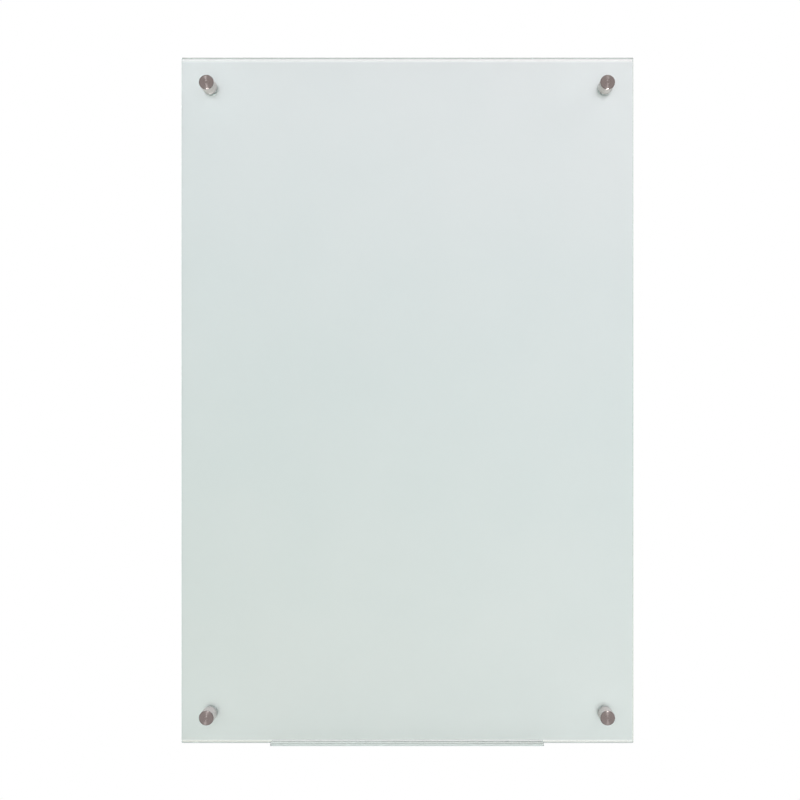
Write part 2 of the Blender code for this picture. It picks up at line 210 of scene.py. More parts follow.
# Dull surfaces get an even grey light. What the camera sees directly is white.
ambient = add(
    sky,
    "ShaderNodeMix",
    {**MIX, FIRST: linear("#a8a9aa")},
    {0: ray.outputs["Is Glossy Ray"], SECOND: around.outputs[MIXED]},
)
indirect = add(
    sky,
    "ShaderNodeMix",
    MIX,
    {
        0: ray.outputs["Is Transmission Ray"],
        FIRST: ambient.outputs[MIXED],
        SECOND: behind.outputs[MIXED],
    },
)
seen = add(
    sky,
    "ShaderNodeMix",
    {**MIX, SECOND: linear(WHITE)},
    {0: ray.outputs["Is Camera Ray"], FIRST: indirect.outputs[MIXED]},
)
strength = add(
    sky,
    "ShaderNodeMapRange",
    {"To Min": 1, "To Max": BACKDROP_STRENGTH},
    {0: ray.outputs["Is Transmission Ray"]},
)
shine = add(
    sky, "ShaderNodeBackground", links={"Color": seen.outputs[MIXED], "Strength": strength}
)
add(sky, "ShaderNodeOutputWorld", links={0: shine})


# Two softboxes light the board from the front, a strong one high on the right and a weak one on the
# left. They stay out of reflections, where the studio's own shades take their place.

def softbox(name, place, aim, width, height, watts):
    """A soft lamp of this size, pointed at a place on the board."""
    data = bpy.data.lights.new(name, "AREA")
    data.shape = "RECTANGLE"
    data.size, data.size_y = width, height
    data.energy = watts
    thing = bpy.data.objects.new(name, data)
    thing.location = place
    thing.rotation_euler = (Vector(aim) - Vector(place)).to_track_quat("-Z", "Y").to_euler()
    thing.visible_glossy = False
    bpy.context.scene.collection.objects.link(thing)


softbox(
    "softbox_right",
    place=(2.2, -0.9, 1.9),
    aim=(0.1, 0, 0.1),
    width=1.2,
    height=1.2,
    watts=30,
)
softbox(
    "softbox_left",
    place=(-1.9, -1.4, 0.4),
    aim=(0, 0, 0),
    width=1.0,
    height=1.6,
    watts=10,
)


# Four small lamps stand round the camera, about 0.42 m to its sides and 0.27 m below or above it,
# each narrowed to the one cap that it lights. They make the streak across the turned face and the
# bright point on the rim, and show only as shine.

GLINT_LEFT, GLINT_RIGHT, GLINT_LOW, GLINT_HIGH, GLINT_FRONT = -0.385, 0.453, -0.29, 0.25, -1.2
GLINT_RADIUS, GLINT_SPREAD = 0.02, math.radians(5)
GLINTS = {
    "top_left": (GLINT_LEFT, GLINT_LOW, 64),
    "top_right": (GLINT_RIGHT, GLINT_LOW, 42),
    "bottom_left": (GLINT_LEFT, GLINT_HIGH, 37),
    "bottom_right": (GLINT_RIGHT, GLINT_HIGH, 35),
}
for corner, (across, up, watts) in GLINTS.items():
    data = bpy.data.lights.new("glint_" + corner, "SPOT")
    data.energy = watts
    data.shadow_soft_size = GLINT_RADIUS
    data.spot_size = GLINT_SPREAD
    data.spot_blend = 1
    thing = bpy.data.objects.new(data.name, data)
    low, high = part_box("cap_" + corner)
    place = Vector((across, GLINT_FRONT, up))
    thing.location = place
    thing.rotation_euler = ((low + high) / 2 - place).to_track_quat("-Z", "Y").to_euler()
    thing.visible_diffuse = False
    thing.visible_transmission = False
    bpy.context.scene.collection.objects.link(thing)


# The floor is a pale studio floor, 0.75 m below the board, as if the board hung on a wall at
# reading height. It takes the board's shadow and fades into the white studio round its rim. The
# camera sees it paler than it lights the board.

FLOOR_PLACE, FLOOR_RADIUS = (0, -0.3, -1.2), 1.95
FADE_START, FADE_END = 1.0, 1.9
CAMERA_GLOW = 0.6


def new_material(name, shader="ShaderNodeBsdfPrincipled", settings=None):
    """A material with this shader on its output."""
    made = bpy.data.materials.new(name)
    made.use_nodes = True
    tree = made.node_tree
    tree.nodes.clear()
    surface = add(tree, shader, settings)
    add(tree, "ShaderNodeOutputMaterial", links={0: surface})
    return made, tree, surface


floor_paint, tree, surface = new_material("studio_floor", "ShaderNodeMixShader")
spot = add(tree, "ShaderNodeTexCoord")
reach = add(tree, "ShaderNodeVectorMath", {"operation": "LENGTH"}, {0: spot.outputs["Object"]})
fade = add(
    tree,
    "ShaderNodeMapRange",
    {**EASE, "From Min": FADE_START, "From Max": FADE_END},
    {0: reach.outputs["Value"]},
)
looked_at = add(tree, "ShaderNodeLightPath")
pale = add(
    tree, "ShaderNodeMapRange", {"To Max": CAMERA_GLOW}, {0: looked_at.outputs["Is Camera Ray"]}
)
share = add(tree, "ShaderNodeMath", {"operation": "MAXIMUM"}, {0: fade, 1: pale})
paint = add(tree, "ShaderNodeBsdfDiffuse", {"Color": linear("#f1f1ef")})
glow = add(tree, "ShaderNodeEmission", {"Color": linear(WHITE)})
for number, source in enumerate((share, paint, glow)):
    tree.links.new(source.outputs[0], surface.inputs[number])

shape = bmesh.new()
bmesh.ops.create_circle(shape, cap_ends=True, segments=96, radius=FLOOR_RADIUS)
mesh = bpy.data.meshes.new("floor")
shape.to_mesh(mesh)
shape.free()
mesh.materials.append(floor_paint)
floor = bpy.data.objects.new("floor", mesh)
floor.location = FLOOR_PLACE
floor.visible_glossy = False
bpy.context.scene.collection.objects.link(floor)


# Wall plugs, four: moulded grey nylon, pushed into the drilled wall, with a collar, saw-tooth ribs,
# two wings that stop them turning and slotted legs that the screw spreads. Moulded nylon is dull
# and slightly uneven.

MM = 0.001
CORNERS = ("top_left", "top_right", "bottom_left", "bottom_right")
PLUG_RADIUS, PLUG_BORE, PLUG_STEPS = 3.5, 2.4, 48
TIP_RADIUS, TIP_BASE_RADIUS, TIP_LENGTH = 3.0, 3.4, 2.6
PLUG_RIBS, RIB_PITCH, RIB_ROOT, RIB_FIRST, RIB_STEP = 7, 2.2, 3.15, 4, 0.3
COLLAR_DEPTH, COLLAR_ROUND = 0.8, 0.2
WING_SIZE, WING_OUT, WING_UP = (1.35, 8, 1), 3.625, 23
LEG_SLOT_SIZE, LEG_SLOT_UP = (0.8, 20, 12), 8
SAME_POINT, ON_RING = 0.0001 * MM, 0.001 * MM  # how close points lie to be one, or on an edge
SHARP_EDGE = math.radians(35)  # faces that meet at more than this keep a sharp edge between them
NYLON_CLOUD = 4 * MM  # how wide its paler and darker patches are
NYLON_GRAIN = 0.4 * MM  # the mould's grain, finer on a real plug, drawn this coarse so that it shows


def place_of(node):
    """The middle line of a round CAD node, and its wall end, as x, y and z."""
    low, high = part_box(node)
    return (low.x + high.x) / 2, high.y, (low.z + high.z) / 2


def size_of(node):
    """The radius of a round CAD node, and its length forward, in mm to the nearest thousandth."""
    low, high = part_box(node)
    return round((high.x - low.x) / 2 / MM, 3), round((high.y - low.y) / MM, 3)


def turned(node, profile, rounds=(), steps=96):
    """A turned solid on a CAD node's middle line. The profile is (radius, height) in mm, with
    heights from the node's wall end forward. It is closed unless both its ends are on the line.
    Rounds are (point in the profile, edge radius in mm, segments)."""
    x, wall_end, z = place_of(node)
    shape = bmesh.new()
    line = [
        shape.verts.new((x + radius * MM, wall_end - height * MM, z)) for radius, height in profile
    ]
    edges = [shape.edges.new(pair) for pair in zip(line, line[1:])]
    if profile[0][0]:
        edges.append(shape.edges.new((line[-1], line[0])))
    bmesh.ops.spin(
        shape,
        geom=line + edges,
        cent=(x, 0, z),
        axis=(0, -1, 0),
        angle=2 * math.pi,
        steps=steps,
        use_merge=True,
    )
    bmesh.ops.remove_doubles(shape, verts=shape.verts, dist=SAME_POINT)
    bmesh.ops.recalc_face_normals(shape, faces=shape.faces)
    for point, radius, segments in rounds:
        out, height = profile[point]

        def on_ring(vert):
            reach = math.hypot(vert.co.x - x, vert.co.z - z)
            level = wall_end - vert.co.y
            return abs(reach - out * MM) < ON_RING and abs(level - height * MM) < ON_RING

        ring = [edge for edge in shape.edges if on_ring(edge.verts[0]) and on_ring(edge.verts[1])]
        bmesh.ops.bevel(
            shape,
            geom=ring,
            offset=radius * MM,
            segments=segments,
            profile=0.5,
            affect="EDGES",
            material=-1,
        )
    return shape


def make(shape, name):
    """An object from a bmesh."""
    mesh = bpy.data.meshes.new(name)
    shape.to_mesh(mesh)
    shape.free()
    thing = bpy.data.objects.new(name, mesh)
    bpy.context.scene.collection.objects.link(thing)
    return thing


def combine(thing, tool, operation):
    """Cuts a tool's solid, given as a bmesh, out of a piece, or joins it on."""
    other = make(tool, thing.name + "_tool")
    modifier = thing.modifiers.new("combine", "BOOLEAN")
    modifier.operation = operation
    modifier.object = other
    modifier.solver = "EXACT"
    graph = bpy.context.evaluated_depsgraph_get()
    mesh = bpy.data.meshes.new_from_object(thing.evaluated_get(graph))
    thing.modifiers.clear()
    thing.data = mesh
    bpy.data.objects.remove(other)


def dress(thing, node, finish):
    """Puts a piece in a CAD node's stead: on its body, in this finish."""
    mesh = thing.data
    mesh.name = thing.name
    mesh.materials.clear()
    mesh.materials.append(finish)
    mesh.shade_smooth()
    mesh.set_sharp_from_angle(angle=SHARP_EDGE)
    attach(thing, body_of(frame["nodes"][node])[0])
    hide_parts(node)


grey_nylon, tree, surface = new_material(
    "moulded_grey_nylon",
    settings={"Base Color": linear("#85898b"), "Roughness": 0.5, "Subsurface Weight": 0.05},
)
spot = add(tree, "ShaderNodeTexCoord")
cloud = add(
    tree,
    "ShaderNodeTexNoise",
    {"Scale": 1 / NYLON_CLOUD, "Detail": 3},
    {"Vector": spot.outputs["Object"]},
)
tint = add(
    tree,
    "ShaderNodeMix",
    {**MIX, FIRST: linear("#7b7f82"), SECOND: linear("#8f9395")},
    {0: cloud.outputs[0]},
)
grain = add(
    tree,
    "ShaderNodeTexNoise",
    {"Scale": 1 / NYLON_GRAIN, "Detail": 2},
    {"Vector": spot.outputs["Object"]},
)
dull = add(tree, "ShaderNodeMapRange", {"To Min": 0.42, "To Max": 0.58}, {0: grain.outputs[0]})
relief = add(
    tree,
    "ShaderNodeBump",
    {"Strength": 0.25, "Distance": 0.05 * MM},
    {"Height": grain.outputs[0]},
)
tree.links.new(tint.outputs[MIXED], surface.inputs["Base Color"])
tree.links.new(dull.outputs[0], surface.inputs["Roughness"])
tree.links.new(relief.outputs[0], surface.inputs["Normal"])

collar_radius, plug_length = size_of("wall_plug_top_right")
plug_profile = [(PLUG_BORE, 0), (TIP_RADIUS, 0), (TIP_BASE_RADIUS, TIP_LENGTH)]
for rib in range(PLUG_RIBS):
    start = RIB_FIRST + rib * RIB_PITCH
    plug_profile += [(RIB_ROOT, start), (PLUG_RADIUS, start + RIB_PITCH - RIB_STEP)]
plug_profile += [
    (PLUG_RADIUS, plug_length - COLLAR_DEPTH),
    (collar_radius, plug_length - COLLAR_DEPTH),
    (collar_radius, plug_length),
    (PLUG_BORE, plug_length),
]
for corner in CORNERS:
    node = "wall_plug_" + corner
    x, wall_end, z = place_of(node)
    body = turned(node, plug_profile, [(-2, COLLAR_ROUND, 3)], PLUG_STEPS)
    plug = make(body, "nylon_plug_" + corner)
    wings = bmesh.new()
    for side in (-1, 1):
        wing = bmesh.ops.create_cube(wings, size=MM)["verts"]
        bmesh.ops.scale(wings, vec=WING_SIZE, verts=wing)
        where = (x + side * WING_OUT * MM, wall_end - WING_UP * MM, z)
        bmesh.ops.translate(wings, vec=where, verts=wing)
    combine(plug, wings, "UNION")
    leg_slot = bmesh.new()
    bar = bmesh.ops.create_cube(leg_slot, size=MM)["verts"]
    bmesh.ops.scale(leg_slot, vec=LEG_SLOT_SIZE, verts=bar)
    bmesh.ops.translate(leg_slot, vec=(x, wall_end - LEG_SLOT_UP * MM, z), verts=bar)
    combine(plug, leg_slot, "DIFFERENCE")
    plug.visible_transmission = False  # it is inside the wall, so it doesn't show through the glass
    dress(plug, node, grey_nylon)


# Bases, four: the part of a stand-off that the wall screw holds, a short cup turned from stainless
# steel bar. The tool leaves fine rings, so light spreads across them into a streak, and the metal is
# a warm grey.

BASE_RADIUS, BASE_LENGTH = size_of("base_top_right")
STUD_RADIUS, STUD_LENGTH = size_of("stud_top_right")
STUD_CLEARANCE, BASE_FLOOR = 0.3, 3.7
STUD_BORE = STUD_RADIUS + STUD_CLEARANCE
SCREW_HOLE, COUNTERSINK = 2.4, 4.82
RELIEF_RADIUS, RELIEF_DEPTH = 4.6, 1.1
BASE_FRONT_ROUND, BASE_EDGE_ROUND = 1.5, 0.4
TOOL_RINGS = 0.25 * MM  # finer on real turned steel, drawn this coarse so that they show
TOOL_BANDS = 1.11 * MM  # wider bands of lighter and deeper cut, one ring or several

steel, tree, surface = new_material(
    "turned_stainless_steel",
    settings={
        "Base Color": linear("#ddd4d2"),
        "Metallic": 1,
        "Roughness": 0.25,
        "Anisotropic": 0.83,
    },
)
stand_x, _, stand_z = place_of("base_top_right")
spot = add(tree, "ShaderNodeTexCoord")
axes = add(tree, "ShaderNodeSeparateXYZ", links={0: spot.outputs["Object"]})

# The way from the nearest stand-off's middle line, which is the same in all four quarters.
from_middle = []
for axis, middle in (("X", stand_x), ("Z", stand_z)):
    side = add(tree, "ShaderNodeMath", {"operation": "SIGN"}, {0: axes.outputs[axis]})
    centre = add(tree, "ShaderNodeMath", {"operation": "MULTIPLY", 1: middle}, {0: side})
    from_middle.append(
        add(tree, "ShaderNodeMath", {"operation": "SUBTRACT"}, {0: axes.outputs[axis], 1: centre})
    )
outward = add(tree, "ShaderNodeCombineXYZ", links={0: from_middle[0], 2: from_middle[1]})
reach = add(tree, "ShaderNodeVectorMath", {"operation": "LENGTH"}, {0: outward})
round_line = add(
    tree, "ShaderNodeVectorMath", {"operation": "CROSS_PRODUCT", 1: (0, 1, 0)}, {0: outward}
)
across_rings = add(
    tree,
    "ShaderNodeVectorMath",
    {"operation": "CROSS_PRODUCT"},
    {0: round_line, 1: spot.outputs["Normal"]},
)
grain_way = add(
    tree,
    "ShaderNodeVectorTransform",
    {"vector_type": "VECTOR", "convert_from": "OBJECT", "convert_to": "WORLD"},
    {0: across_rings},
)
cut_line = add(
    tree, "ShaderNodeMath", {"operation": "ADD"}, {0: reach.outputs["Value"], 1: axes.outputs["Y"]}
)
rings = add(
    tree,
    "ShaderNodeTexNoise",
    {"noise_dimensions": "1D", "Scale": 1 / TOOL_RINGS, "Detail": 3},
    {"W": cut_line},
)
bands = add(
    tree,
    "ShaderNodeTexNoise",
    {"noise_dimensions": "1D", "Scale": 1 / TOOL_BANDS, "Detail": 1},
    {"W": cut_line},
)
tint = add(
    tree,
    "ShaderNodeMix",
    {**MIX, FIRST: linear("#ccc1bf"), SECOND: linear("#e9e1de")},
    {0: bands.outputs[0]},
)
dull = add(tree, "ShaderNodeMapRange", {"To Min": 0.2, "To Max": 0.3}, {0: bands.outputs[0]})
relief = add(
    tree, "ShaderNodeBump", {"Strength": 0.3, "Distance": 0.02 * MM}, {"Height": rings.outputs[0]}
)
tree.links.new(tint.outputs[MIXED], surface.inputs["Base Color"])
tree.links.new(dull.outputs[0], surface.inputs["Roughness"])
tree.links.new(relief.outputs[0], surface.inputs["Normal"])
tree.links.new(grain_way.outputs[0], surface.inputs["Tangent"])

base_profile = [
    (RELIEF_RADIUS, 0),
    (BASE_RADIUS, 0),
    (BASE_RADIUS, BASE_LENGTH),
    (STUD_BORE, BASE_LENGTH),
    (STUD_BORE, BASE_FLOOR),
    (COUNTERSINK, BASE_FLOOR),
    (SCREW_HOLE, BASE_FLOOR - (COUNTERSINK - SCREW_HOLE)),
    (SCREW_HOLE, RELIEF_DEPTH),
    (RELIEF_RADIUS, RELIEF_DEPTH),
]
base_rounds = [(1, BASE_EDGE_ROUND, 3), (2, BASE_FRONT_ROUND, 5), (3, BASE_EDGE_ROUND, 2)]
for corner in CORNERS:
    node = "base_" + corner
    base = make(turned(node, base_profile, base_rounds), "steel_base_" + corner)
    dress(base, node, steel)


# Wall screws, four: zinc-plated steel, with a countersunk head in the base's floor, a cross recess
# and a coarse thread that ends in a point. Zinc plating is pale and slightly blue, with soft gloss.

HEAD_RADIUS, SCREW_LENGTH = size_of("wall_screw_top_right")
SCREW_CREST, SCREW_ROOT, SCREW_PITCH, SCREW_STEPS = 2.1, 1.45, 1.8, 48
NECK_RADIUS, NECK_START, THREAD_FADE = 1.7, 30, 2
POINT_START, POINT_LENGTH, POINT_RADIUS, POINT_THREAD_SHARE = 0.2, 6, 0.02, 0.5
HEAD_RIM, HEAD_STEPS, SHANK_UNDER = 0.35, 50, 1.5  # the shank ends this far under the head's face
RECESS_LENGTH, RECESS_WIDTH, RECESS_HEIGHT, RECESS_UNDER = 5.6, 1.2, 3, 0.4
RECESS_FOOT_SHARE = 0.02  # how wide the recess still is at its foot
ROOT_END_SHARE, CREST_START_SHARE, CREST_END_SHARE = 0.25, 0.5625, 0.6875  # of a thread's pitch
SAME_TURN = 0.002 * MM  # how close points of neighbouring turns lie to be one
PLATING_CLOUD = 2.5 * MM  # how wide the patches of thicker and thinner plating are

zinc, tree, surface = new_material(
    "zinc_plated_steel",
    settings={"Base Color": linear("#c3c6ca"), "Metallic": 1, "Roughness": 0.3},
)
spot = add(tree, "ShaderNodeTexCoord")
cloud = add(
    tree,
    "ShaderNodeTexNoise",
    {"Scale": 1 / PLATING_CLOUD, "Detail": 4},
    {"Vector": spot.outputs["Object"]},
)
tint = add(
    tree,
    "ShaderNodeMix",
    {**MIX, FIRST: linear("#b4b8be"), SECOND: linear("#d2d3d2")},
    {0: cloud.outputs[0]},
)
dull = add(tree, "ShaderNodeMapRange", {"To Min": 0.24, "To Max": 0.4}, {0: cloud.outputs[0]})
relief = add(
    tree, "ShaderNodeBump", {"Strength": 0.15, "Distance": 0.03 * MM}, {"Height": cloud.outputs[0]}
)
tree.links.new(tint.outputs[MIXED], surface.inputs["Base Color"])
tree.links.new(dull.outputs[0], surface.inputs["Roughness"])
tree.links.new(relief.outputs[0], surface.inputs["Normal"])


def threaded(node, crest, root, pitch, low, high, trim, steps):
    """A right-hand thread on a CAD node's middle line, between two heights in mm from the node's
    wall end. Trim gives the radius that a point is turned down to, from its height and radius."""
    x, wall_end, z = place_of(node)
    shape = bmesh.new()
    line = []
    tooth = (
        (0, root),
        (ROOT_END_SHARE, root),
        (CREST_START_SHARE, crest),
        (CREST_END_SHARE, crest),
    )
    turns = math.ceil((high - low) / pitch) + 2
    for turn in range(turns):
        start = low + (turn - 1) * pitch
        for share, radius in tooth:
            height = start + share * pitch
            line.append(shape.verts.new((x + radius * MM, wall_end - height * MM, z)))
    edges = [shape.edges.new(pair) for pair in zip(line, line[1:])]
    bmesh.ops.spin(
        shape,
        geom=line + edges,
        cent=(x, 0, z),
        axis=(0, -1, 0),
        dvec=(0, -pitch * MM / steps, 0),
        angle=2 * math.pi,
        steps=steps,
    )
    bmesh.ops.remove_doubles(shape, verts=shape.verts, dist=SAME_TURN)
    for vert in shape.verts:
        out = Vector((vert.co.x - x, 0, vert.co.z - z))
        radius = trim((wall_end - vert.co.y) / MM, out.length / MM)
        out *= radius * MM / out.length
        vert.co.x, vert.co.z = x + out.x, z + out.z
    for height, way in ((low, 1), (high, -1)):
        bmesh.ops.bisect_plane(
            shape,
            geom=list(shape.verts) + list(shape.edges) + list(shape.faces),
            plane_co=(x, wall_end - height * MM, z),
            plane_no=(0, way, 0),
            clear_outer=True,
        )
    bmesh.ops.holes_fill(shape, edges=[edge for edge in shape.edges if edge.is_boundary])
    bmesh.ops.remove_doubles(shape, verts=shape.verts, dist=SAME_POINT)
    bmesh.ops.recalc_face_normals(shape, faces=shape.faces)
    return shape


def screw_radius(height, radius):
    """A cone at the point, a plain neck under the head, and the thread between."""
    if height > NECK_START:
        return NECK_RADIUS
    fade = min(1, (NECK_START - height) / THREAD_FADE)
    body = NECK_RADIUS + (radius - NECK_RADIUS) * fade
    cone = height * SCREW_CREST / POINT_LENGTH
    if height < POINT_LENGTH:
        cone += (radius - SCREW_CREST) * POINT_THREAD_SHARE
    return max(POINT_RADIUS, min(body, cone))


# The head's cone starts inside the shank, so that no two faces lie in the same place.
rim_foot = SCREW_LENGTH - HEAD_RIM
head_foot = rim_foot - (HEAD_RADIUS - SCREW_ROOT)
head_profile = [
    (0, head_foot),
    (SCREW_ROOT, head_foot),
    (HEAD_RADIUS, rim_foot),
    (HEAD_RADIUS, SCREW_LENGTH),
    (0, SCREW_LENGTH),
]
for corner in CORNERS:
    node = "wall_screw_" + corner
    x, wall_end, z = place_of(node)
    shank = threaded(
        node,
        SCREW_CREST,
        SCREW_ROOT,
        SCREW_PITCH,
        POINT_START,
        SCREW_LENGTH - SHANK_UNDER,
        screw_radius,
        SCREW_STEPS,
    )
    screw = make(shank, "zinc_screw_" + corner)
    combine(screw, turned(node, head_profile, steps=HEAD_STEPS), "UNION")
    for quarter in range(2):
        blade = bmesh.new()
        bmesh.ops.create_cone(
            blade,
            cap_ends=True,
            segments=4,
            radius1=RECESS_FOOT_SHARE,
            radius2=1,
            depth=RECESS_HEIGHT * MM,
        )
        eighth = Matrix.Rotation(math.pi / 4, 3, "Z")
        bmesh.ops.rotate(blade, matrix=eighth, verts=blade.verts)
        widths = (RECESS_LENGTH * MM, RECESS_WIDTH * MM, 1)
        bmesh.ops.scale(blade, vec=widths, verts=blade.verts)
        turn = Matrix.Rotation(quarter * math.pi / 2, 3, "Z")
        bmesh.ops.rotate(blade, matrix=turn, verts=blade.verts)
        forward = Matrix.Rotation(math.pi / 2, 3, "X")
        bmesh.ops.rotate(blade, matrix=forward, verts=blade.verts)
        where = (x, wall_end - (SCREW_LENGTH - RECESS_UNDER) * MM, z)
        bmesh.ops.translate(blade, vec=where, verts=blade.verts)
        combine(screw, blade, "DIFFERENCE")
    screw.visible_transmission = False  # its thread is inside the wall, as the plug is
    dress(screw, node, zinc)


# Washers, eight: soft vinyl rings on both sides of the glass, so that no metal touches it. They are
# punched from clear sheet that has gone milky, so they glow a little with the light in the glass.

WASHER_RADIUS, WASHER_DEPTH = size_of("front_washer_top_right")
WASHER_ROUND = 0.15
VINYL_CLOUD = 2 * MM  # how wide its duller and glossier patches are

vinyl, tree, surface = new_material(
    "punched_clear_vinyl",
    settings={
        "Base Color": linear("#f1f4f3"),
        "Roughness": 0.25,
        "IOR": 1.52,
        "Transmission Weight": 0.3,
        "Subsurface Weight": 0.8,
        "Subsurface Radius": (3 * MM, 3 * MM, 3 * MM),
        "Subsurface Scale": 1,
    },
)
spot = add(tree, "ShaderNodeTexCoord")
cloud = add(
    tree,
    "ShaderNodeTexNoise",
    {"Scale": 1 / VINYL_CLOUD, "Detail": 3},
    {"Vector": spot.outputs["Object"]},
)
dull = add(tree, "ShaderNodeMapRange", {"To Min": 0.18, "To Max": 0.34}, {0: cloud.outputs[0]})
tint = add(
    tree,
    "ShaderNodeMix",
    {**MIX, FIRST: linear("#e9eeec"), SECOND: linear("#f7f9f8")},
    {0: cloud.outputs[0]},
)
tree.links.new(tint.outputs[MIXED], surface.inputs["Base Color"])
tree.links.new(dull.outputs[0], surface.inputs["Roughness"])

washer_profile = [
    (STUD_BORE, 0),
    (WASHER_RADIUS, 0),
    (WASHER_RADIUS, WASHER_DEPTH),
    (STUD_BORE, WASHER_DEPTH),
]
washer_rounds = [(1, WASHER_ROUND, 3), (2, WASHER_ROUND, 3)]
for kind in ("rear", "front"):
    for corner in CORNERS:
        node = f"{kind}_washer_{corner}"
        washer = make(turned(node, washer_profile, washer_rounds), f"vinyl_{kind}_washer_{corner}")
        dress(washer, node, vinyl)


# The sheet: one pane of toughened soda-lime glass, acid-etched on both faces, so that it is milky and
# things behind it soften with their distance. Its edges and holes are ground and polished, and show
# the iron green of the glass. Near every edge but the left one the face is glossier and painted
# lighter, widest at the top: a painted glow standing in for light let in through the edges.

GLASS_CLOUD = 111 * MM  # how wide the faint changes in its green are
ETCH_GRIT = 1.11 * MM  # much finer on real etched glass, drawn this coarse so that it shows
GLOW_FULL, GLOW_GONE = 3 * MM, 5 * MM  # where the painted edge glow and gloss are full and where they end, in from the top and foot
GLOW_SIDE_FULL, GLOW_SIDE_GONE = 0.8 * MM, 2.3 * MM  # the same, in from the right edge
TOP_GLOW_EXTRA = 1.3 * MM  # the painted glow and gloss reach this much further in at the top
EDGE_LINE_INNER, EDGE_LINE_OUTER = 2.3 * MM, 1.5 * MM  # a darker line is drawn along the top and foot edges, between these distances in from the edge
SQUARE_ON = 0.9  # the least share of a direction along an axis that counts as facing it
_, sheet_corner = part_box("glass_panel")

etched_glass, tree, surface = new_material(
    "acid_etched_glass",
    settings={
        "Base Color": linear("#e9f4f2"),
        "Roughness": 0.5,
        "IOR": 1.52,
        "Transmission Weight": 0.86,
    },
)
spot = add(tree, "ShaderNodeTexCoord")
facing = add(tree, "ShaderNodeSeparateXYZ", links={0: spot.outputs["Normal"]})
forward = add(tree, "ShaderNodeMath", {"operation": "ABSOLUTE"}, {0: facing.outputs["Y"]})
on_face = add(tree, "ShaderNodeMath", {"operation": "GREATER_THAN", 1: SQUARE_ON}, {0: forward})
cloud = add(
    tree,
    "ShaderNodeTexNoise",
    {"Scale": 1 / GLASS_CLOUD, "Detail": 2},
    {"Vector": spot.outputs["Object"]},
)
grit = add(
    tree,
    "ShaderNodeTexNoise",
    {"Scale": 1 / ETCH_GRIT, "Detail": 2},
    {"Vector": spot.outputs["Object"]},
)
place = add(tree, "ShaderNodeSeparateXYZ", links={0: spot.outputs["Object"]})
toward_end = add(tree, "ShaderNodeMath", {"operation": "ABSOLUTE"}, {0: place.outputs["Z"]})
toward_top = add(
    tree, "ShaderNodeMath", {"operation": "ADD", 1: TOP_GLOW_EXTRA}, {0: place.outputs["Z"]}
)
border = add(tree, "ShaderNodeMath", {"operation": "MAXIMUM"}, {0: toward_end, 1: toward_top})
# Painted light: a band in from the top, foot and right edges, widest at the top, is painted lighter
# to stand in for light let in through the edges. The same band is also glossier.
glow_ends = add(
    tree,
    "ShaderNodeMapRange",
    {**EASE, "From Min": sheet_corner.z - GLOW_GONE, "From Max": sheet_corner.z - GLOW_FULL},
    {0: border},
)
glow_side = add(
    tree,
    "ShaderNodeMapRange",
    {
        **EASE,
        "From Min": sheet_corner.x - GLOW_SIDE_GONE,
        "From Max": sheet_corner.x - GLOW_SIDE_FULL,
    },
    {0: place.outputs["X"]},
)
glow_and_gloss_border = add(tree, "ShaderNodeMath", {"operation": "MAXIMUM"}, {0: glow_ends, 1: glow_side})
# The face is drawn darker in a thin line along the top and foot edges.
edge_line = add(
    tree,
    "ShaderNodeMapRange",
    {"From Min": sheet_corner.z - EDGE_LINE_INNER, "From Max": sheet_corner.z - EDGE_LINE_OUTER},
    {0: toward_end},
)

# The face's own green, then the painted glow near the edges, the darker edge line and the polished
# edge over it.
face_tint = add(
    tree,
    "ShaderNodeMix",
    {**MIX, FIRST: linear("#e6f2f0"), SECOND: linear("#ebf5f3")},
    {0: cloud.outputs[0]},
)
# Painted glow: the face is lighter near the edges, where light let in through the edges would
# brighten it.
edge_glow_tint = add(
    tree,
    "ShaderNodeMix",
    {**MIX, SECOND: linear("#f6fffc")},
    {0: glow_and_gloss_border, FIRST: face_tint.outputs[MIXED]},
)
edge_lined_tint = add(
    tree,
    "ShaderNodeMix",
    {**MIX, SECOND: linear("#d8dedc")},
    {0: edge_line, FIRST: edge_glow_tint.outputs[MIXED]},
)
tint = add(
    tree,
    "ShaderNodeMix",
    {**MIX, FIRST: linear("#c4d9d1")},
    {0: on_face, SECOND: edge_lined_tint.outputs[MIXED]},
)
face_dull = add(tree, "ShaderNodeMapRange", {"To Min": 0.46, "To Max": 0.54}, {0: grit.outputs[0]})
border_dull = add(
    tree, "ShaderNodeMapRange", {"To Max": 0.2}, {0: glow_and_gloss_border, "To Min": face_dull}
)
dull = add(tree, "ShaderNodeMapRange", {"To Min": 0.08}, {0: on_face, "To Max": border_dull})
relief = add(
    tree, "ShaderNodeBump", {"Strength": 0.04, "Distance": 0.05 * MM}, {"Height": grit.outputs[0]}
)
tree.links.new(tint.outputs[MIXED], surface.inputs["Base Color"])
tree.links.new(dull.outputs[0], surface.inputs["Roughness"])
tree.links.new(relief.outputs[0], surface.inputs["Normal"])

for holder in frame["nodes"]["glass_panel"].material_slots:
    holder.material = etched_glass


# Hole sleeves, four: short moulded white nylon tubes that line the holes in the glass, so that the
# stud can't chip it. White nylon is dull and a little creamy.

SLEEVE_RADIUS, SLEEVE_LENGTH = size_of("hole_sleeve_top_right")
SLEEVE_ROUND = 0.15
SLEEVE_GRAIN = 0.556 * MM  # the mould's grain, finer on a real sleeve, drawn coarse so that it shows

